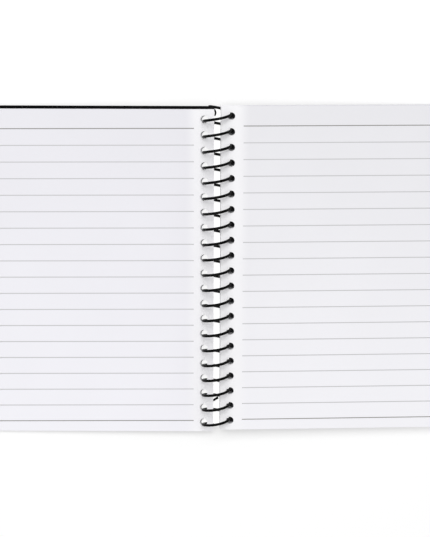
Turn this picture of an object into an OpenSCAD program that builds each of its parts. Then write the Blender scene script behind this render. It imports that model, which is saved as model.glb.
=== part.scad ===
// Open spiral notebook, lying face up on a table, in millimetres.
// X runs across the pages, Y from tail to head along the spine, Z up from the table.
// The origin is on the table below the coil's axis, halfway along the notebook.

/* [Sheets] */
// Width of a page, from its punched edge to its outer edge
page_w = 127; // [90:1:220]
// Height of a page, from tail to head
page_h = 180; // [120:0.5:220]
// Thickness of the leaves turned to the left
left_pages_t = 1.5; // [0.8:0.1:3]
// Thickness of the leaves still on the right
right_pages_t = 6.3; // [3:0.1:9]

/* [Covers] */
// Thickness of each cover board
cover_t = 0.6; // [0.4:0.05:1.2]
// Distance from the middle of a cover's holes to its inner edge
cover_edge = 3; // [2.8:0.1:4.5]
// How far the front cover stands above its pages at the head
front_cover_rise = 1.6; // [0:0.1:3]
// How far the back cover lies below its pages at the head
back_cover_slip = 0.6; // [0:0.1:1.5]
// Radius of the covers' corners
cover_corner_r = 2; // [0.5:0.1:6]

/* [Punched holes] */
// Distance from one hole to the next
hole_pitch = 8.467; // [7.5:0.001:9.5]
// Least distance from the middle of an end hole to the head or tail of the page
row_margin = 4.5; // [3.5:0.1:5.3]
// Diameter of a hole
hole_d = 4.1; // [4.1:0.05:5]
// Distance from the middle of the top page's holes to its inner edge
hole_edge = 5.4; // [4.5:0.1:5.6]

/* [Coil] */
// Diameter of the coil's wire
wire_d = 1.5; // [0.8:0.05:1.5]
// Clear space left between the two stacks of pages when the notebook is shut
shut_gap = 0.3; // [0.2:0.05:2]
// Angle from straight down at which the wire enters the back cover
back_angle = 50; // [46:1:56]
// Angle from straight down at which the wire enters the front cover
front_angle = 54; // [50:1:60]
// Angle past the top of the head turn at which the coil ends
head_end_angle = 205; // [185:1:215]
// Angle before the top of the tail turn at which the coil begins
tail_end_angle = 165; // [150:1:175]
// Length along the spine of the bent-in end at the head
head_tail_l = 6.4; // [3:0.1:9]
// Length along the spine of the bent-in end at the tail
tail_tail_l = 4; // [3:0.1:9]

/* [Hidden] */
// Flat sides round the wire
wire_sides = 8;
// Rings of the wire in each full turn
turn_rings = 20;
// Rings of the wire in each bent-in end
end_rings = 10;
// Share of the wire's thickness that is left at its nipped tip
tip_share = 0.6;
// Angle by which a bent bore runs on past the leaves at both ends
bore_overrun = 25;

wire_r = wire_d / 2;
sheets_t = left_pages_t + right_pages_t + 2 * cover_t;
// The shut stack just fills the coil between the two places where the wire enters the covers
coil_r = (sheets_t + shut_gap) / (cos(back_angle) + cos(front_angle));
axis_z = coil_r + wire_r;
lead_angle = atan(hole_pitch / (2 * PI * coil_r));
// Heights of the two cover boards below the coil's axis
back_drop = coil_r * cos(back_angle);
front_drop = coil_r * cos(front_angle);
back_tilt = lie_tilt(back_drop);
front_tilt = lie_tilt(front_drop);
// Turn that shuts the notebook, half of which the coil makes too
shut_angle = 180 + back_tilt + front_tilt;
// The wire lies this far off the middle of each hole, and as far on the other side when shut
creep = hole_pitch * shut_angle / 2 / 360 / 2;
// Place of the head hole on the top page of each half, from the top of the coil's head turn
right_hole_y = wire_y(crossing(1, cover_t + right_pages_t)) - creep;
left_hole_y = wire_y(crossing(-1, cover_t + left_pages_t)) + creep;
// As many holes as the height of the page takes
hole_count = floor((page_h - 2 * row_margin) / hole_pitch) + 1;
row_l = (hole_count - 1) * hole_pitch;
// Height along the spine of the top of the head turn, which centres the notebook on the origin
head_y = row_l / 2 - (right_hole_y + left_hole_y) / 2;

// Tilt that brings the outer edge of a half down to the table, for a board this far below the axis
function lie_tilt(drop) =
    let (reach = coil_r - hole_edge + page_w)
    asin(axis_z / norm([reach, drop])) - atan2(drop, reach);

function drop_of(side) = side > 0 ? back_drop : front_drop;
function tilt_of(side) = side > 0 ? back_tilt : front_tilt;

// Angle from straight down at which the wire crosses a sheet this high above the cover's underside
function sheet_angle(side, height) = acos((drop_of(side) - height) / coil_r);

// The same place as an angle round the coil from its top, right side positive
function crossing(side, height) = side * (180 + tilt_of(side) - sheet_angle(side, height));

// Distance of the wire along the spine from the top of its turn
function wire_y(angle) = hole_pitch * angle / 360;

// Point of the wire's centre line at an angle round the coil, counted from the top of the head turn
function wire_point(angle) =
    [coil_r * sin(angle), head_y + wire_y(angle), axis_z + coil_r * cos(angle)];

function wire_heading(angle) =
    [cos(angle) * cos(lead_angle), sin(lead_angle), -sin(angle) * cos(lead_angle)];

// Point of a cubic curve with four control points
function curve_point(c, t) =
    pow(1 - t, 3) * c[0] + 3 * pow(1 - t, 2) * t * c[1] + 3 * (1 - t) * t * t * c[2] + t * t * t * c[3];

// Curve of a bent-in end, from where the coil stops to the tip in the gap between the pages
function end_curve(start, heading, reach, inward) = [
    start,
    start + 2.4 * wire_d * heading,
    start + [inward * 0.9, reach * 0.35, wire_d * 0.4],
    start + [inward, reach, wire_d * 0.5],
];

function unit(v) = v / norm(v);

// Reference direction carried along the wire without twisting
function carried(direction, heading) = unit(direction - (direction * heading) * heading);

// Mesh of a round wire swept along points, with its own radius at each point
module swept_wire(points, radii) {
    last = len(points) - 1;
    headings = [for (i = [0:last]) unit(points[min(i + 1, last)] - points[max(i - 1, 0)])];
    sides = [
        for (i = 0, n = carried([0, 1, 0.2], headings[0]); i <= last;
            i = i + 1, n = carried(n, headings[min(i, last)])) n
    ];
    ring_points = [
        for (i = [0:last], k = [0:wire_sides - 1])
            let (turn = 360 * k / wire_sides, other = cross(headings[i], sides[i]))
            points[i] + radii[i] * (cos(turn) * sides[i] + sin(turn) * other)
    ];
    walls = [
        for (i = [0:last - 1], k = [0:wire_sides - 1])
            let (a = i * wire_sides + k, b = i * wire_sides + (k + 1) % wire_sides)
            each [[a, b + wire_sides, b], [a, a + wire_sides, b + wire_sides]]
    ];
    first_cap = [for (k = [0:wire_sides - 1]) k];
    last_cap = [for (k = [wire_sides - 1:-1:0]) last * wire_sides + k];
    polyhedron(points = ring_points, faces = concat([first_cap], walls, [last_cap]));
}

// Black coated wire wound through all the holes, with both ends bent in so that it can't unwind
module coil() {
    first_angle = -360 * (hole_count - 1) - tail_end_angle;
    steps = ceil((head_end_angle - first_angle) * turn_rings / 360);
    turns = [for (i = [0:steps]) wire_point(first_angle + (head_end_angle - first_angle) * i / steps)];
    head_curve = end_curve(wire_point(head_end_angle), wire_heading(head_end_angle), -head_tail_l, wire_d);
    tail_curve = end_curve(wire_point(first_angle), -wire_heading(first_angle), tail_tail_l, wire_d);
    head_points = [for (i = [1:end_rings]) curve_point(head_curve, i / end_rings)];
    tail_points = [for (i = [end_rings:-1:1]) curve_point(tail_curve, i / end_rings)];
    taper = [for (i = [1:end_rings]) wire_r * (1 - (1 - tip_share) * pow(i / end_rings, 3))];
    thin_taper = [for (i = [end_rings - 1:-1:0]) taper[i]];
    color("#17181a")
        swept_wire(concat(tail_points, turns, head_points),
            concat(thin_taper, [for (p = turns) wire_r], taper));
}

// Row of bent bores that follow the wire through the leaves between two heights above a cover's underside
module bent_bores(side, low, high) {
    from = sheet_angle(side, low) - bore_overrun;
    to = sheet_angle(side, high) + bore_overrun;
    angle = side * (180 + tilt_of(side) - (from + to) / 2);
    for (turn = [0:hole_count - 1])
        translate([0, head_y + wire_y(angle) - turn * hole_pitch - side * creep, axis_z])
            rotate([0, angle - 90, 0])
                rotate([90 + lead_angle, 0, 0])
                    rotate([0, 0, (from - to) / 2])
                        rotate_extrude(angle = to - from, $fn = 96)
                            translate([coil_r, 0]) circle(d = hole_d, $fn = 32);
}

// Places a half that is drawn flat below the coil's axis, tilted down to the table at its outer edge
module laid(side) {
    translate([0, 0, axis_z])
        mirror([side > 0 ? 0 : 1, 0, 0])
            rotate([0, tilt_of(side), 0])
                children();
}

// Distance from the axis at which the wire passes through a sheet, for a sheet this far below it
function hole_x(depth) = sqrt(coil_r * coil_r - depth * depth);

// Distance from the axis to the inner edges of a stack, set by the holes of its top page
function leaf_inner(side, stack_t) = hole_x(drop_of(side) - cover_t - stack_t) - hole_edge;

// Row of round holes punched straight through a board, each where the wire passes its middle
module board_holes(side) {
    depth = drop_of(side) - cover_t / 2;
    head_hole_y = head_y + wire_y(crossing(side, cover_t / 2)) - side * creep;
    for (turn = [0:hole_count - 1])
        translate([hole_x(depth), head_hole_y - turn * hole_pitch, -depth])
            cylinder(h = 2 * cover_t, d = hole_d, center = true, $fn = 32);
}

// Board with round corners, drawn flat below the axis, that ends flush with its leaves
module board(side, stack_t, y_middle) {
    inner = hole_x(drop_of(side) - cover_t / 2) - cover_edge;
    width = leaf_inner(side, stack_t) + page_w - inner;
    r = cover_corner_r;
    translate([inner, y_middle - page_h / 2, -drop_of(side)]) {
        translate([r, 0, 0]) cube([width - 2 * r, page_h, cover_t]);
        translate([0, r, 0]) cube([width, page_h - 2 * r, cover_t]);
        for (x = [r, width - r], y = [r, page_h - r])
            translate([x, y, 0]) cylinder(h = cover_t, r = r, $fn = 48);
    }
}

// Squared-up stack of leaves, drawn flat below the axis on its cover
module leaves(side, stack_t, y_middle) {
    translate([leaf_inner(side, stack_t), y_middle - page_h / 2, cover_t - drop_of(side)])
        cube([page_w, page_h, stack_t]);
}

module back_cover() {
    middle = head_y + right_hole_y - row_l / 2 - back_cover_slip;
    color("#1d1e20")
        difference() {
            laid(1) board(1, right_pages_t, middle);
            laid(1) board_holes(1);
        }
}

module right_pages() {
    middle = head_y + right_hole_y - row_l / 2;
    color("#f2f2f4")
        difference() {
            laid(1) leaves(1, right_pages_t, middle);
            bent_bores(1, cover_t, cover_t + right_pages_t);
        }
}

module left_pages() {
    middle = head_y + left_hole_y - row_l / 2;
    color("#f2f2f6")
        difference() {
            laid(-1) leaves(-1, left_pages_t, middle);
            bent_bores(-1, cover_t, cover_t + left_pages_t);
        }
}

module front_cover() {
    middle = head_y + left_hole_y - row_l / 2 + front_cover_rise;
    color("#1d1e20")
        difference() {
            laid(-1) board(-1, left_pages_t, middle);
            laid(-1) board_holes(-1);
        }
}

back_cover();
right_pages();
coil();
left_pages();
front_cover();
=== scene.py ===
"""Open spiral notebook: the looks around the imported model.

Sizes are in millimetres in the tables below, and in metres in the scene and in node sockets. They
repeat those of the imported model, because each leaf, each hole and the coil lie where the model has them.
"""
import math

import bpy
from mathutils import Euler, Matrix, Vector

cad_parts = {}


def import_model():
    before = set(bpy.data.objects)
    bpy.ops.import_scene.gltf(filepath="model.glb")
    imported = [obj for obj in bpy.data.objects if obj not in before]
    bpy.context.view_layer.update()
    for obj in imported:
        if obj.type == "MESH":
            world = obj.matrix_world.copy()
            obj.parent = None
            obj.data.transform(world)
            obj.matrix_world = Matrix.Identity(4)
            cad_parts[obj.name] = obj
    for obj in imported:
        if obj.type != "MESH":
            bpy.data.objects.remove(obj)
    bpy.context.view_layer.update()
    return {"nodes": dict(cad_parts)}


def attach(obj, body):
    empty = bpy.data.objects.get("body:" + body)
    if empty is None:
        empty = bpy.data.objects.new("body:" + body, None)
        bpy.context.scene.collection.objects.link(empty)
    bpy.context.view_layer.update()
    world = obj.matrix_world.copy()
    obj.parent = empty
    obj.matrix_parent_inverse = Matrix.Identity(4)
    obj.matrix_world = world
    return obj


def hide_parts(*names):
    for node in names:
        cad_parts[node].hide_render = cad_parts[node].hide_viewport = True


MM = 0.001

# Coil: the leaves are punched about COIL_R, and the wire's middle runs a little nearer the axis
COIL_R = 7.5575
WIRE_PATH_R = 7.53
WIRE_R = 0.749
WIRE_SIDES = 16
AXIS_Z = 8.3075
HEAD_TURN_Y = 85.0688
PITCH = 8.467
TURNS = 21
HEAD_END_DEG = 205
TAIL_END_DEG = 165
TURN_STEP_DEG = 6

# Bent ends of the coil: steps in X, Y and Z from the end of the last turn, and a share of its thickness
HEAD_HAIRPIN = ((-0.75, 0.12, 0.33, 1.0), (-1.08, 0.05, 0.75, 0.95), (-0.95, -0.25, 1.15, 0.86),
                (-0.1, -0.6, 1.36, 0.78), (0.95, -1.0, 1.4, 0.74), (1.8, -1.75, 1.35, 0.72),
                (2.25, -2.75, 1.25, 0.7), (2.25, -3.8, 1.15, 0.64), (1.9, -4.8, 1.05, 0.5))
TAIL_STUB = ((-0.72, -0.14, 0.35, 1.0), (-1.1, 0.1, 0.9, 0.9), (-1.1, 0.8, 1.4, 0.84),
             (-1.0, 3.0, 1.85, 0.8), (-0.95, 7.0, 1.9, 0.8), (-0.9, 11.7, 1.9, 0.8),
             (-0.4, 13.5, 1.95, 0.82), (0.9, 14.45, 1.95, 0.86), (3.0, 15.75, 1.95, 0.88))

# Punched row: CREEP is how far each hole's middle stands off the wire, along the spine, at rest
HOLE_D = 4.1
HOLE_SIDES = 28
HOLE_EDGE = 5.4
CREEP = 1.0775

# Leaves and covers: LEAF_GAP is the open share of each leaf's room, and LEAF_UNEVEN the most that an
# edge below the top leaf is drawn in
PAGE_W = 127
PAGE_H = 180
COVER_T = 0.6
LEAF_T = 0.21
LEAF_GAP = 0.03
LEAF_UNEVEN = 0.16

# One row per half: its side, the plain stack and body it belongs to, the stack's thickness, the depth of
# the cover's underside below the axis, the tilt, and the top leaf's head hole in Y from the head turn
HALVES = {
    "right_leaves": dict(side=1, node="right_pages", body="back_half", stack=6.3, drop=4.8578,
                         tilt_deg=1.53124, head_hole_y=0.7066, seed=5),
    "left_leaves": dict(side=-1, node="left_pages", body="front_half", stack=1.5, drop=4.4422,
                        tilt_deg=1.71583, head_hole_y=-1.5043, seed=11),
}

# Printed ruling: header line, slope and inner end of the lines, as they lie on each page
RULING = {
    "right_leaves": dict(first_y=80.47, slope=0.0006, inner_x=14.0),
    "left_leaves": dict(first_y=78.64, slope=-0.005, inner_x=12.6),
}
LINE_COUNT = 19
LINE_SPACING = 9.085
LINE_WIDTH = 0.5

# Colours: each paper has one for its head and one for its tail, paler at the tail as painted light, and
# each black has two to vary between
PAPER_TONES_WITH_PAINTED_LIGHT = {
    "right_leaves": ((0.808, 0.804, 0.834), (0.94, 0.935, 0.972)),
    "left_leaves": ((0.815, 0.808, 0.85), (0.93, 0.924, 0.972)),
}
# Painted light: paler paper beside the spine
SPINE_PAINTED_LIGHT_TONE = (0.99, 0.985, 1.0)
# Painted shade inside the punched holes
HOLE_PAINTED_SHADE_TONE = (0.03, 0.03, 0.034)
FINE_INK = (0.56, 0.56, 0.57)
DARK_INK = (0.27, 0.265, 0.255)
BOARD_TONES = ((0.0012, 0.0012, 0.0014), (0.003, 0.003, 0.0033))
WIRE_TONES = ((0.0008, 0.001, 0.0008), (0.002, 0.0023, 0.002))
TABLE_TONE = (0.62, 0.62, 0.62)

# Painted light as paler paper beside the spine, and painted light as a bright strip of table under it:
# where each starts to fade and ends
SPINE_PAINTED_LIGHT = (10, 18)
SPINE_PAINTED_LIGHT_SHARE = 0.7
PAINTED_STRIP_HALF_W = (8, 14)
PAINTED_STRIP_HALF_H = (88, 90.5)

# Light: the lamp in metres and watts, the world's strength as a light, and the white that the table adds
# for the camera, all over and, as painted light, in a strip under the spine
LAMP_AT = (-0.2, 0.85, 1.5)
LAMP_SIZE = (1.4, 0.8)
LAMP_POWER = 17.0
WORLD_LIGHT = 0.56
TABLE_GLOW = 0.42
SPINE_PAINTED_GLOW = 0.45

# Camera: place, angles, and focal length for a sensor along the picture's long side
CAMERA_AT = (-31.762, 212.443, 990.601)
CAMERA_DEG = (-12.0863, -1.748, 0.195)
CAMERA_LENS = 123.562
CAMERA_SENSOR = 36

# In metres
TABLE_REACH = 4.0
MERGE_DISTANCE = 1e-6

# Usual lowest and highest value of a noise, and the part of a normal in Z that parts flat from upright
NOISE_LOW, NOISE_HIGH = 0.3, 0.7
FLAT_ABOVE = 0.5


# Node helpers


def node_tree(name, kind, inputs, outputs):
    """New node group with named sockets; each socket is (name, socket type) or (name, type, value)."""
    tree = bpy.data.node_groups.new(name, kind)
    for direction, sockets in (("INPUT", inputs), ("OUTPUT", outputs)):
        for label, socket_type, *value in sockets:
            socket = tree.interface.new_socket(label, in_out=direction, socket_type=socket_type)
            if value:
                socket.default_value = value[0]
    return tree


def feed(tree, socket, value):
    """Links a socket to another one, or sets it to a plain value."""
    if isinstance(value, bpy.types.NodeSocket):
        tree.links.new(value, socket)
    else:
        socket.default_value = value


def add(tree, kind, settings=None, **inputs):
    """New node with its settings and inputs; an input is fed by name, or by index as i and its number."""
    node = tree.nodes.new(kind)
    for key, value in (settings or {}).items():
        setattr(node, key, value)
    for key, value in inputs.items():
        by_index = key[0] == "i" and key[1:].isdigit()
        feed(tree, node.inputs[int(key[1:]) if by_index else key.replace("_", " ")], value)
    return node


def maths(tree, operation, *values):
    """Result of a Math node; each value is a number or a socket."""
    node = tree.nodes.new("ShaderNodeMath")
    node.operation = operation
    for socket, value in zip(node.inputs, values):
        feed(tree, socket, value)
    return node.outputs[0]


def product(tree, *shares):
    """All the shares multiplied together."""
    whole = shares[0]
    for share in shares[1:]:
        whole = maths(tree, "MULTIPLY", whole, share)
    return whole


def joined(tree, *parts):
    """Several geometries as one."""
    node = tree.nodes.new("GeometryNodeJoinGeometry")
    for part in parts:
        tree.links.new(part, node.inputs[0])
    return node.outputs[0]


def surface_xyz(tree, source):
    """X, Y and Z of the surface's place (Object) or of where it faces (Normal)."""
    vector = tree.nodes.new("ShaderNodeTexCoord").outputs[source]
    return add(tree, "ShaderNodeSeparateXYZ", Vector=vector).outputs


def fading(tree, distance, span, most=1.0):
    """Share that falls smoothly along a span in millimetres, from most at its near end to none."""
    near, far = span
    return add(tree, "ShaderNodeMapRange", {"interpolation_type": "SMOOTHSTEP"}, Value=distance,
               From_Min=near * MM, From_Max=far * MM, To_Min=most, To_Max=0.0).outputs[0]


def ranged(tree, noise, low, high):
    """Usual values of a noise, spread from low to high."""
    return add(tree, "ShaderNodeMapRange", Value=noise, From_Min=NOISE_LOW, From_Max=NOISE_HIGH,
               To_Min=low, To_Max=high).outputs[0]


def mixed(tree, share, first, second):
    """Colour between two others, each a colour or a socket."""
    node = tree.nodes.new("ShaderNodeMix")
    node.data_type = "RGBA"
    tree.links.new(share, node.inputs[0])
    for socket, colour in ((node.inputs[6], first), (node.inputs[7], second)):
        feed(tree, socket, colour if isinstance(colour, bpy.types.NodeSocket) else (*colour, 1))
    return node.outputs[2]


# Geometry trees


def page_outline(tree, given, index):
    """Rectangle of one leaf; those below the top one are a little uneven at their outer edges and ends."""
    below_top = maths(tree, "LESS_THAN", index, maths(tree, "SUBTRACT", given["Leaves"], 1.5))
    most = maths(tree, "MULTIPLY", given["Unevenness"], below_top)
    next_seed = maths(tree, "ADD", given["Seed"], 1)
    short, drawn_in = (
        add(tree, "FunctionNodeRandomValue", {"data_type": "FLOAT"}, i2=0.0, i3=most, ID=index,
            Seed=seed).outputs[1] for seed in (given["Seed"], next_seed))
    width = maths(tree, "SUBTRACT", given["Page width"], short)
    height = maths(tree, "SUBTRACT", given["Page height"], maths(tree, "MULTIPLY", drawn_in, 2))
    outline = add(tree, "GeometryNodeCurvePrimitiveQuadrilateral", {"mode": "RECTANGLE"}, Width=width,
                  Height=height).outputs[0]
    page_x = maths(tree, "MULTIPLY_ADD", width, 0.5, given["Inner edge"])
    place = add(tree, "ShaderNodeCombineXYZ", X=page_x, Y=given["Page middle"]).outputs[0]
    return add(tree, "GeometryNodeTransform", Geometry=outline, Translation=place).outputs[0]


def punched_row(tree, given, middle):
    """Row of round holes where the wire passes through a leaf, given the height of the leaf's middle."""
    depth = maths(tree, "DIVIDE", maths(tree, "MULTIPLY", middle, -1), given["Coil radius"])
    from_down = maths(tree, "ARCCOSINE", depth)
    hole_x = maths(tree, "MULTIPLY", maths(tree, "SINE", from_down), given["Coil radius"])
    hole_y = maths(tree, "MULTIPLY_ADD", from_down, given["Row shift per radian"], given["Row start"])
    start = add(tree, "ShaderNodeCombineXYZ", X=hole_x, Y=hole_y).outputs[0]
    tailwards = maths(tree, "MULTIPLY", given["Hole pitch"], -1)
    step = add(tree, "ShaderNodeCombineXYZ", Y=tailwards).outputs[0]
    row = add(tree, "GeometryNodeMeshLine", {"mode": "OFFSET", "count_mode": "TOTAL"},
              Count=given["Hole count"], Start_Location=start, Offset=step).outputs[0]
    circle = add(tree, "GeometryNodeCurvePrimitiveCircle", {"mode": "RADIUS"}, Resolution=HOLE_SIDES,
                 Radius=given["Hole radius"]).outputs[0]
    holes = add(tree, "GeometryNodeInstanceOnPoints", Points=row, Instance=circle).outputs[0]
    return add(tree, "GeometryNodeRealizeInstances", Geometry=holes).outputs[0]


def closed_leaf(tree, given, curves, bottom):
    """Sheet inside the curves, given its thickness, closed below and lifted to its height."""
    sheet = add(tree, "GeometryNodeFillCurve", {"mode": "TRIANGLES"}, Curve=curves).outputs[0]
    up = add(tree, "ShaderNodeCombineXYZ", Z=given["Leaf thickness"]).outputs[0]
    raised = add(tree, "GeometryNodeExtrudeMesh", {"mode": "FACES"}, Mesh=sheet, Offset=up,
                 Offset_Scale=1.0, Individual=False).outputs[0]
    under = add(tree, "GeometryNodeFlipFaces", Mesh=sheet).outputs[0]
    leaf = add(tree, "GeometryNodeMergeByDistance", Geometry=joined(tree, raised, under),
               Distance=MERGE_DISTANCE).outputs[0]
    lift = add(tree, "ShaderNodeCombineXYZ", Z=bottom).outputs[0]
    return add(tree, "GeometryNodeTransform", Geometry=leaf, Translation=lift).outputs[0]


def end_tree(tree, geometry, material):
    """Last nodes of a geometry tree: real geometry only, with its material."""
    whole = add(tree, "GeometryNodeRealizeInstances", Geometry=geometry).outputs[0]
    whole = add(tree, "GeometryNodeSetMaterial", Geometry=whole, Material=material).outputs[0]
    tree.links.new(whole, tree.nodes.new("NodeGroupOutput").inputs[0])
    return tree


def leaf_stack_tree():
    """Stack of leaves drawn flat below the coil's axis, each punched where the wire passes through it.

    X runs from the axis outwards, Y along the spine, Z up from the axis.
    """
    tree = node_tree("leaf_stack", "GeometryNodeTree", [
        ("Leaves", "NodeSocketInt", 10), ("Leaf pitch", "NodeSocketFloat", 0.0),
        ("Leaf thickness", "NodeSocketFloat", 0.0), ("First height", "NodeSocketFloat", 0.0),
        ("Coil radius", "NodeSocketFloat", 0.0), ("Page width", "NodeSocketFloat", 0.0),
        ("Page height", "NodeSocketFloat", 0.0), ("Page middle", "NodeSocketFloat", 0.0),
        ("Hole count", "NodeSocketInt", 1), ("Hole pitch", "NodeSocketFloat", 0.0),
        ("Hole radius", "NodeSocketFloat", 0.0), ("Inner edge", "NodeSocketFloat", 0.0),
        ("Row start", "NodeSocketFloat", 0.0), ("Row shift per radian", "NodeSocketFloat", 0.0),
        ("Unevenness", "NodeSocketFloat", 0.0), ("Seed", "NodeSocketInt", 0),
        ("Material", "NodeSocketMaterial")], [("Geometry", "NodeSocketGeometry")])
    given = tree.nodes.new("NodeGroupInput").outputs
    repeat_in = tree.nodes.new("GeometryNodeRepeatInput")
    repeat_out = tree.nodes.new("GeometryNodeRepeatOutput")
    repeat_in.pair_with_output(repeat_out)
    tree.links.new(given["Leaves"], repeat_in.inputs["Iterations"])
    index = repeat_in.outputs["Iteration"]
    bottom = maths(tree, "MULTIPLY_ADD", index, given["Leaf pitch"], given["First height"])
    middle = maths(tree, "MULTIPLY_ADD", given["Leaf thickness"], 0.5, bottom)
    curves = joined(tree, page_outline(tree, given, index), punched_row(tree, given, middle))
    leaf = closed_leaf(tree, given, curves, bottom)
    tree.links.new(joined(tree, leaf, repeat_in.outputs["Geometry"]), repeat_out.inputs["Geometry"])
    return end_tree(tree, repeat_out.outputs["Geometry"], given["Material"])


def swept_wire_tree():
    """Round wire along the object's own line of points, thinned by the point attribute thinning."""
    tree = node_tree("swept_wire", "GeometryNodeTree", [
        ("Path", "NodeSocketGeometry"), ("Wire radius", "NodeSocketFloat", 0.0),
        ("Sides", "NodeSocketInt", 16), ("Material", "NodeSocketMaterial")],
        [("Geometry", "NodeSocketGeometry")])
    given = tree.nodes.new("NodeGroupInput").outputs
    path = add(tree, "GeometryNodeMeshToCurve", Mesh=given["Path"]).outputs[0]
    path = add(tree, "GeometryNodeSetCurveNormal", {"mode": "MINIMUM_TWIST"}, Curve=path).outputs[0]
    thinning = add(tree, "GeometryNodeInputNamedAttribute", {"data_type": "FLOAT"},
                   Name="thinning").outputs[0]
    section = add(tree, "GeometryNodeCurvePrimitiveCircle", {"mode": "RADIUS"}, Resolution=given["Sides"],
                  Radius=given["Wire radius"]).outputs[0]
    tube = add(tree, "GeometryNodeCurveToMesh", Curve=path, Profile_Curve=section, Scale=thinning,
               Fill_Caps=True).outputs[0]
    tube = add(tree, "GeometryNodeSetShadeSmooth", Geometry=tube, Shade_Smooth=True).outputs[0]
    return end_tree(tree, tube, given["Material"])


def grown(name, tree, base_mesh, inputs, lay=None, mirrored=False):
    """Plain mesh object made by a geometry tree, laid in place by a matrix."""
    source = bpy.data.objects.new(name + "_source", base_mesh)
    bpy.context.scene.collection.objects.link(source)
    modifier = source.modifiers.new("grow", "NODES")
    modifier.node_group = tree
    sockets = {item.name: item.identifier for item in tree.interface.items_tree if item.in_out == "INPUT"}
    for label, value in inputs.items():
        modifier[sockets[label]] = value
    source.update_tag()
    evaluated = source.evaluated_get(bpy.context.evaluated_depsgraph_get())
    mesh = bpy.data.meshes.new_from_object(evaluated)
    mesh.name = name
    bpy.data.objects.remove(source)
    if lay is not None:
        mesh.transform(lay)
    if mirrored:
        mesh.flip_normals()
    piece = bpy.data.objects.new(name, mesh)
    bpy.context.scene.collection.objects.link(piece)
    return piece


# Shader groups


def mottle_group():
    """Slow change of tone and fine grain over a surface, on Object coordinates in metres."""
    tree = node_tree("mottle", "ShaderNodeTree", [
        ("Cloud size", "NodeSocketFloat", 0.03), ("Grain size", "NodeSocketFloat", 0.0003)], [
        ("Clouds", "NodeSocketFloat"), ("Grain", "NodeSocketFloat")])
    given = tree.nodes.new("NodeGroupInput").outputs
    place = tree.nodes.new("ShaderNodeTexCoord").outputs["Object"]
    made = tree.nodes.new("NodeGroupOutput").inputs
    for size, result, detail in (("Cloud size", "Clouds", 3.0), ("Grain size", "Grain", 4.0)):
        scale = maths(tree, "DIVIDE", 1.0, given[size])
        noise = add(tree, "ShaderNodeTexNoise", Vector=place, Scale=scale, Detail=detail, Roughness=0.6)
        tree.links.new(noise.outputs[0], made[result])
    return tree


def ruling_group():
    """Masks of the printed lines on a leaf's upper face: the fine lines, and the two darker ones."""
    tree = node_tree("ruling", "ShaderNodeTree", [
        ("First line", "NodeSocketFloat", 0.08), ("Spacing", "NodeSocketFloat", 0.009),
        ("Lines", "NodeSocketFloat", 19.0), ("Line width", "NodeSocketFloat", 0.0005),
        ("Soft share", "NodeSocketFloat", 0.15), ("Slope", "NodeSocketFloat", 0.0),
        ("Inner end", "NodeSocketFloat", 0.013)], [
        ("Fine lines", "NodeSocketFloat"), ("Dark lines", "NodeSocketFloat")])
    given = tree.nodes.new("NodeGroupInput").outputs
    place = surface_xyz(tree, "Object")
    facing = surface_xyz(tree, "Normal")
    outward = maths(tree, "SUBTRACT", maths(tree, "ABSOLUTE", place[0]), given["Inner end"])
    level = maths(tree, "SUBTRACT", place[1], maths(tree, "MULTIPLY", outward, given["Slope"]))
    count = maths(tree, "DIVIDE", maths(tree, "SUBTRACT", given["First line"], level), given["Spacing"])
    nearest = maths(tree, "ROUND", count)
    spacings_away = maths(tree, "ABSOLUTE", maths(tree, "SUBTRACT", count, nearest))
    away = maths(tree, "MULTIPLY", spacings_away, given["Spacing"])

    # Full at the line's middle, and none from half its width and the soft share outwards
    soft = maths(tree, "MULTIPLY", given["Line width"], given["Soft share"])
    reach = maths(tree, "MULTIPLY_ADD", given["Line width"], 0.5, soft)
    within = maths(tree, "DIVIDE", maths(tree, "SUBTRACT", reach, away), maths(tree, "MULTIPLY", soft, 2))
    line = maths(tree, "MINIMUM", maths(tree, "MAXIMUM", within, 0.0), 1.0)

    # The first and the last line are the dark ones, and none is printed past them
    middle_line = maths(tree, "MULTIPLY", maths(tree, "SUBTRACT", given["Lines"], 1.0), 0.5)
    from_middle = maths(tree, "ABSOLUTE", maths(tree, "SUBTRACT", nearest, middle_line))
    ruled = maths(tree, "LESS_THAN", from_middle, maths(tree, "ADD", middle_line, 0.25))
    at_end = maths(tree, "GREATER_THAN", from_middle, maths(tree, "SUBTRACT", middle_line, 0.25))
    past_inner_end = maths(tree, "GREATER_THAN", outward, 0.0)
    upper_face = maths(tree, "GREATER_THAN", facing[2], FLAT_ABOVE)
    printed = product(tree, line, ruled, past_inner_end, upper_face)
    made = tree.nodes.new("NodeGroupOutput").inputs
    tree.links.new(product(tree, printed, at_end), made["Dark lines"])
    tree.links.new(product(tree, printed, maths(tree, "SUBTRACT", 1.0, at_end)), made["Fine lines"])
    return tree


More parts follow.
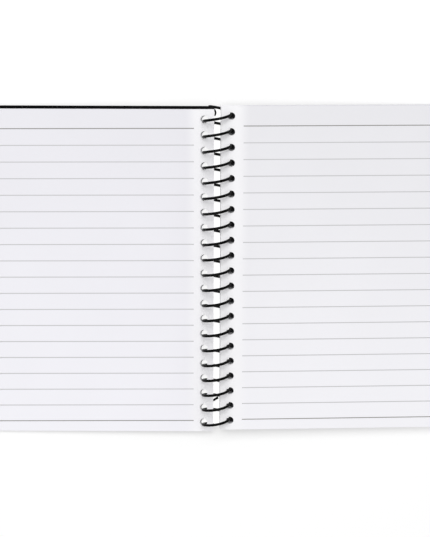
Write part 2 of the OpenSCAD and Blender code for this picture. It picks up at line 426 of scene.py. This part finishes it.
def hole_painted_shade_group():
    """Mask of painted shade inside the punched holes, from none at the top page to full deep in the stack.

    In the thick right-hand stack it also takes the small steps from leaf to leaf, and walls that face the
    light get less of the painted shade.
    """
    tree = node_tree("hole_painted_shade", "ShaderNodeTree", [
        ("Row from", "NodeSocketFloat", 0.0025), ("Row to", "NodeSocketFloat", 0.0105),
        ("Row end", "NodeSocketFloat", 0.0875), ("Pale above", "NodeSocketFloat", 0.0097),
        ("Dark below", "NodeSocketFloat", 0.0088), ("Lit side reach", "NodeSocketFloat", 0.003)], [
        ("Mask", "NodeSocketFloat")])
    given = tree.nodes.new("NodeGroupInput").outputs
    place = surface_xyz(tree, "Object")
    facing = surface_xyz(tree, "Normal")
    across = maths(tree, "ABSOLUTE", place[0])
    along = maths(tree, "ABSOLUTE", place[1])
    in_row = product(tree, maths(tree, "GREATER_THAN", across, given["Row from"]),
                     maths(tree, "LESS_THAN", across, given["Row to"]),
                     maths(tree, "LESS_THAN", along, given["Row end"]))
    upright = maths(tree, "LESS_THAN", maths(tree, "ABSOLUTE", facing[2]), FLAT_ABOVE)
    on_right = maths(tree, "GREATER_THAN", place[0], 0.0)
    inside = maths(tree, "MAXIMUM", upright, on_right)
    lit = maths(tree, "MULTIPLY", maths(tree, "ADD", facing[0], facing[1]), given["Lit side reach"])
    deep = add(tree, "ShaderNodeMapRange", Value=maths(tree, "ADD", place[2], lit),
               From_Min=given["Pale above"], From_Max=given["Dark below"]).outputs[0]
    tree.links.new(product(tree, inside, in_row, deep), tree.nodes.new("NodeGroupOutput").inputs["Mask"])
    return tree


# Materials


def new_material(name):
    """Material with an empty tree, its Principled shader and its output."""
    material = bpy.data.materials.new(name)
    material.use_nodes = True
    tree = material.node_tree
    tree.nodes.clear()
    shader = tree.nodes.new("ShaderNodeBsdfPrincipled")
    out = tree.nodes.new("ShaderNodeOutputMaterial")
    tree.links.new(shader.outputs[0], out.inputs["Surface"])
    return material, tree, shader


def place_group(tree, group, **inputs):
    """Outputs of a shader group placed in a material with its own values."""
    node = tree.nodes.new("ShaderNodeGroup")
    node.node_tree = group
    for label, value in inputs.items():
        node.inputs[label.replace("_", " ")].default_value = value
    return node.outputs


def finish_surface(tree, shader, colour, grain, roughness, specular, relief, relief_depth):
    """Colour of a surface, its gloss, and a fine relief that the roughness follows."""
    tree.links.new(colour, shader.inputs["Base Color"])
    tree.links.new(ranged(tree, grain, *roughness), shader.inputs["Roughness"])
    shader.inputs["Specular IOR Level"].default_value = specular
    bump = add(tree, "ShaderNodeBump", Strength=relief, Distance=relief_depth, Height=grain)
    tree.links.new(bump.outputs[0], shader.inputs["Normal"])


def ruled_paper(name, groups, tones, ruling):
    """Uncoated writing paper with fine printed lines, with painted light making it paler towards the tail
    and beside the spine, and painted shade inside the punched holes.
    """
    material, tree, shader = new_material(name)
    mottle = place_group(tree, groups["mottle"], Cloud_size=0.045, Grain_size=0.00035)
    lines = place_group(tree, groups["ruling"], First_line=ruling["first_y"] * MM,
                        Spacing=LINE_SPACING * MM, Lines=LINE_COUNT, Line_width=LINE_WIDTH * MM,
                        Slope=ruling["slope"], Inner_end=ruling["inner_x"] * MM)
    place = surface_xyz(tree, "Object")
    # Painted light: the paper turns paler from head to tail
    tailwards = maths(tree, "MULTIPLY_ADD", place[1], -1 / (PAGE_H * MM), 0.5)
    share = maths(tree, "ADD", tailwards, ranged(tree, mottle["Clouds"], -0.06, 0.06))
    paper = mixed(tree, share, *tones)
    # Painted light: paler paper beside the spine
    painted_light_by_spine = fading(tree, maths(tree, "ABSOLUTE", place[0]), SPINE_PAINTED_LIGHT, SPINE_PAINTED_LIGHT_SHARE)
    paper = mixed(tree, painted_light_by_spine, paper, SPINE_PAINTED_LIGHT_TONE)
    # Painted shade inside the punched holes, deeper down the stack
    paper = mixed(tree, place_group(tree, groups["hole_painted_shade"])["Mask"], paper, HOLE_PAINTED_SHADE_TONE)
    inked = mixed(tree, lines["Fine lines"], paper, FINE_INK)
    inked = mixed(tree, lines["Dark lines"], inked, DARK_INK)
    finish_surface(tree, shader, inked, mottle["Grain"], roughness=(0.72, 0.86), specular=0.25,
                   relief=0.12, relief_depth=0.00004)
    return material


def black_surface(name, groups, tones, cloud_size, grain_size, **finish):
    """Black material that varies slowly between two tones, with a fine grain."""
    material, tree, shader = new_material(name)
    mottle = place_group(tree, groups["mottle"], Cloud_size=cloud_size, Grain_size=grain_size)
    colour = mixed(tree, ranged(tree, mottle["Clouds"], 0.0, 1.0), *tones)
    finish_surface(tree, shader, colour, mottle["Grain"], **finish)
    return material


def black_board(groups):
    """Solid-dyed cover board with a faint leather-like grain."""
    return black_surface("black_cover_board", groups, BOARD_TONES, cloud_size=0.02, grain_size=0.0006,
                         roughness=(0.42, 0.58), specular=0.05, relief=0.35, relief_depth=0.00006)


def coated_wire(groups):
    """Smooth black coating over the wire, slightly uneven as a dipped coat is."""
    return black_surface("black_coated_wire", groups, WIRE_TONES, cloud_size=0.004, grain_size=0.0009,
                         roughness=(0.2, 0.3), specular=0.07, relief=0.15, relief_depth=0.00003)


# Pieces of the notebook


def wire_point(angle_deg):
    """Point of the wire's middle at an angle round the coil, counted from the top of the head turn."""
    angle = math.radians(angle_deg)
    return Vector((WIRE_PATH_R * math.sin(angle), HEAD_TURN_Y + PITCH * angle_deg / 360,
                   AXIS_Z + WIRE_PATH_R * math.cos(angle)))


def smooth_path(stops, steps=6):
    """Points of a smooth curve through the stops, which holds all their numbers, also the thickness."""
    rows = [stops[0]] + list(stops) + [stops[-1]]
    path = []
    for before, left, right, after in zip(rows, rows[1:], rows[2:], rows[3:]):
        for i in range(1, steps + 1):
            t = i / steps
            path.append([0.5 * (2 * b + (c - a) * t + (2 * a - 5 * b + 4 * c - d) * t * t
                                + (3 * b - a - 3 * c + d) * t ** 3)
                         for a, b, c, d in zip(before, left, right, after)])
    return path


def bent_end(start, stops):
    """Points and thinning of an end that is bent back into the coil, from its start to its tip."""
    path = smooth_path([(0, 0, 0, 1.0)] + list(stops))
    return [start + Vector(row[:3]) for row in path], [row[3] for row in path]


def make_coil(material):
    """Black coil in place of the plain one, with both ends bent in."""
    first = -360 * (TURNS - 1) - TAIL_END_DEG
    steps = round((HEAD_END_DEG - first) / TURN_STEP_DEG)
    turns = [wire_point(first + (HEAD_END_DEG - first) * i / steps) for i in range(steps + 1)]
    head, head_thin = bent_end(wire_point(HEAD_END_DEG), HEAD_HAIRPIN)
    tail, tail_thin = bent_end(wire_point(first), TAIL_STUB)
    points = [p * MM for p in tail[::-1] + turns + head]
    line = bpy.data.meshes.new("coil_line")
    line.from_pydata(points, [(i, i + 1) for i in range(len(points) - 1)], [])
    thinning = line.attributes.new("thinning", "FLOAT", "POINT")
    thinning.data.foreach_set("value", tail_thin[::-1] + [1.0] * len(turns) + head_thin)
    coil = grown("coil_wire", swept_wire_tree(), line,
                 {"Wire radius": WIRE_R * MM, "Sides": WIRE_SIDES, "Material": material})
    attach(coil, "coil")
    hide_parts("coil")


def make_leaves(name, tree, material):
    """Loose leaves in place of one plain stack."""
    half = HALVES[name]
    side, tilt = half["side"], math.radians(half["tilt_deg"])
    leaves = round(half["stack"] / LEAF_T)
    shift = side * PITCH / (2 * math.pi)
    inner_edge = math.sqrt(COIL_R ** 2 - (half["drop"] - COVER_T - half["stack"]) ** 2) - HOLE_EDGE
    row_start = HEAD_TURN_Y + shift * (math.pi + tilt) - side * CREEP
    page_middle = HEAD_TURN_Y + half["head_hole_y"] - (TURNS - 1) * PITCH / 2
    flat_to_place = (Matrix.Translation((0, 0, AXIS_Z * MM)) @ Matrix.Diagonal((side, 1, 1, 1))
                     @ Matrix.Rotation(tilt, 4, "Y"))
    sizes = {
        "Leaf pitch": half["stack"] / leaves,
        "Leaf thickness": (1 - LEAF_GAP) * half["stack"] / leaves,
        "First height": COVER_T + LEAF_GAP * half["stack"] / leaves - half["drop"],
        "Coil radius": COIL_R, "Page width": PAGE_W, "Page height": PAGE_H, "Page middle": page_middle,
        "Hole pitch": PITCH, "Hole radius": HOLE_D / 2, "Inner edge": inner_edge,
        "Row start": row_start, "Row shift per radian": -shift, "Unevenness": LEAF_UNEVEN,
    }
    inputs = {label: size * MM for label, size in sizes.items()}
    inputs.update({"Leaves": leaves, "Hole count": TURNS, "Seed": half["seed"], "Material": material})
    stack = grown(name, tree, bpy.data.meshes.new(name + "_start"), inputs, flat_to_place,
                  mirrored=side < 0)
    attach(stack, half["body"])
    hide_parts(half["node"])


# Table, light and camera


def table_glow(tree):
    """White that the table adds for the camera and for reflections, with painted light in a brighter strip
    under the spine.
    """
    rays = tree.nodes.new("ShaderNodeLightPath").outputs
    seen = maths(tree, "MAXIMUM", maths(tree, "MAXIMUM", rays["Is Camera Ray"], rays["Is Glossy Ray"]),
                 rays["Is Transmission Ray"])
    place = surface_xyz(tree, "Object")
    # Painted light: a brighter strip of table under the spine
    beside_spine = fading(tree, maths(tree, "ABSOLUTE", place[0]), PAINTED_STRIP_HALF_W)
    short_of_ends = fading(tree, maths(tree, "ABSOLUTE", place[1]), PAINTED_STRIP_HALF_H)
    strip = product(tree, beside_spine, short_of_ends)
    return product(tree, seen, maths(tree, "MULTIPLY_ADD", strip, SPINE_PAINTED_GLOW, TABLE_GLOW))


def make_table():
    """Plain white table that keeps the notebook's shadow, with a strip of painted light under the spine."""
    mesh = bpy.data.meshes.new("table")
    corners = [(x * TABLE_REACH, y * TABLE_REACH, 0) for x, y in ((-1, -1), (1, -1), (1, 1), (-1, 1))]
    mesh.from_pydata(corners, [], [(0, 1, 2, 3)])
    table = bpy.data.objects.new("table", mesh)
    bpy.context.scene.collection.objects.link(table)
    material, tree, shader = new_material("white_table")
    shader.inputs["Base Color"].default_value = (*TABLE_TONE, 1)
    shader.inputs["Roughness"].default_value = 0.9
    shader.inputs["Specular IOR Level"].default_value = 0.0
    shader.inputs["Emission Color"].default_value = (1, 1, 1, 1)
    tree.links.new(table_glow(tree), shader.inputs["Emission Strength"])
    table.data.materials.append(material)


def make_world():
    """White surroundings, plain behind the object and softer as a light."""
    world = bpy.data.worlds.new("surroundings")
    bpy.context.scene.world = world
    world.use_nodes = True
    tree = world.node_tree
    tree.nodes.clear()
    rays = tree.nodes.new("ShaderNodeLightPath").outputs
    seen = maths(tree, "MAXIMUM", rays["Is Camera Ray"], rays["Is Transmission Ray"])
    strength = maths(tree, "MULTIPLY_ADD", seen, 1 - WORLD_LIGHT, WORLD_LIGHT)
    back = add(tree, "ShaderNodeBackground", Color=(1, 1, 1, 1), Strength=strength)
    tree.links.new(back.outputs[0], tree.nodes.new("ShaderNodeOutputWorld").inputs["Surface"])


def make_lamp():
    """Large soft lamp beyond the notebook's head, turned to its middle."""
    lamp = bpy.data.lights.new("soft_box", "AREA")
    lamp.shape = "RECTANGLE"
    lamp.size, lamp.size_y = LAMP_SIZE
    lamp.energy = LAMP_POWER
    holder = bpy.data.objects.new("soft_box", lamp)
    bpy.context.scene.collection.objects.link(holder)
    holder.location = LAMP_AT
    holder.rotation_euler = (-Vector(LAMP_AT)).to_track_quat("-Z", "Y").to_euler()


def make_camera():
    """Camera at the photograph's viewing angle."""
    camera = bpy.data.cameras.new("camera")
    camera.sensor_width = CAMERA_SENSOR
    camera.lens = CAMERA_LENS
    camera.clip_start, camera.clip_end = 0.05, 20
    holder = bpy.data.objects.new("camera", camera)
    bpy.context.scene.collection.objects.link(holder)
    holder.location = Vector(CAMERA_AT) * MM
    holder.rotation_euler = Euler([math.radians(a) for a in CAMERA_DEG], "XYZ")
    bpy.context.scene.camera = holder


def dress(frame):
    """Gives every piece of the notebook its look."""
    groups = {"mottle": mottle_group(), "ruling": ruling_group(), "hole_painted_shade": hole_painted_shade_group()}
    stack_tree = leaf_stack_tree()
    for name, paper in (("right_leaves", "ruled_paper_right"), ("left_leaves", "ruled_paper_left")):
        make_leaves(name, stack_tree, ruled_paper(paper, groups, PAPER_TONES_WITH_PAINTED_LIGHT[name], RULING[name]))
    make_coil(coated_wire(groups))
    board = black_board(groups)
    for name in ("front_cover", "back_cover"):
        cover = frame["nodes"][name]
        cover.data.materials.clear()
        cover.data.materials.append(board)


def main():
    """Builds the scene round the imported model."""
    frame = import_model()
    make_camera()
    make_table()
    make_world()
    make_lamp()
    bpy.context.scene.view_settings.view_transform = "Standard"
    dress(frame)


main()
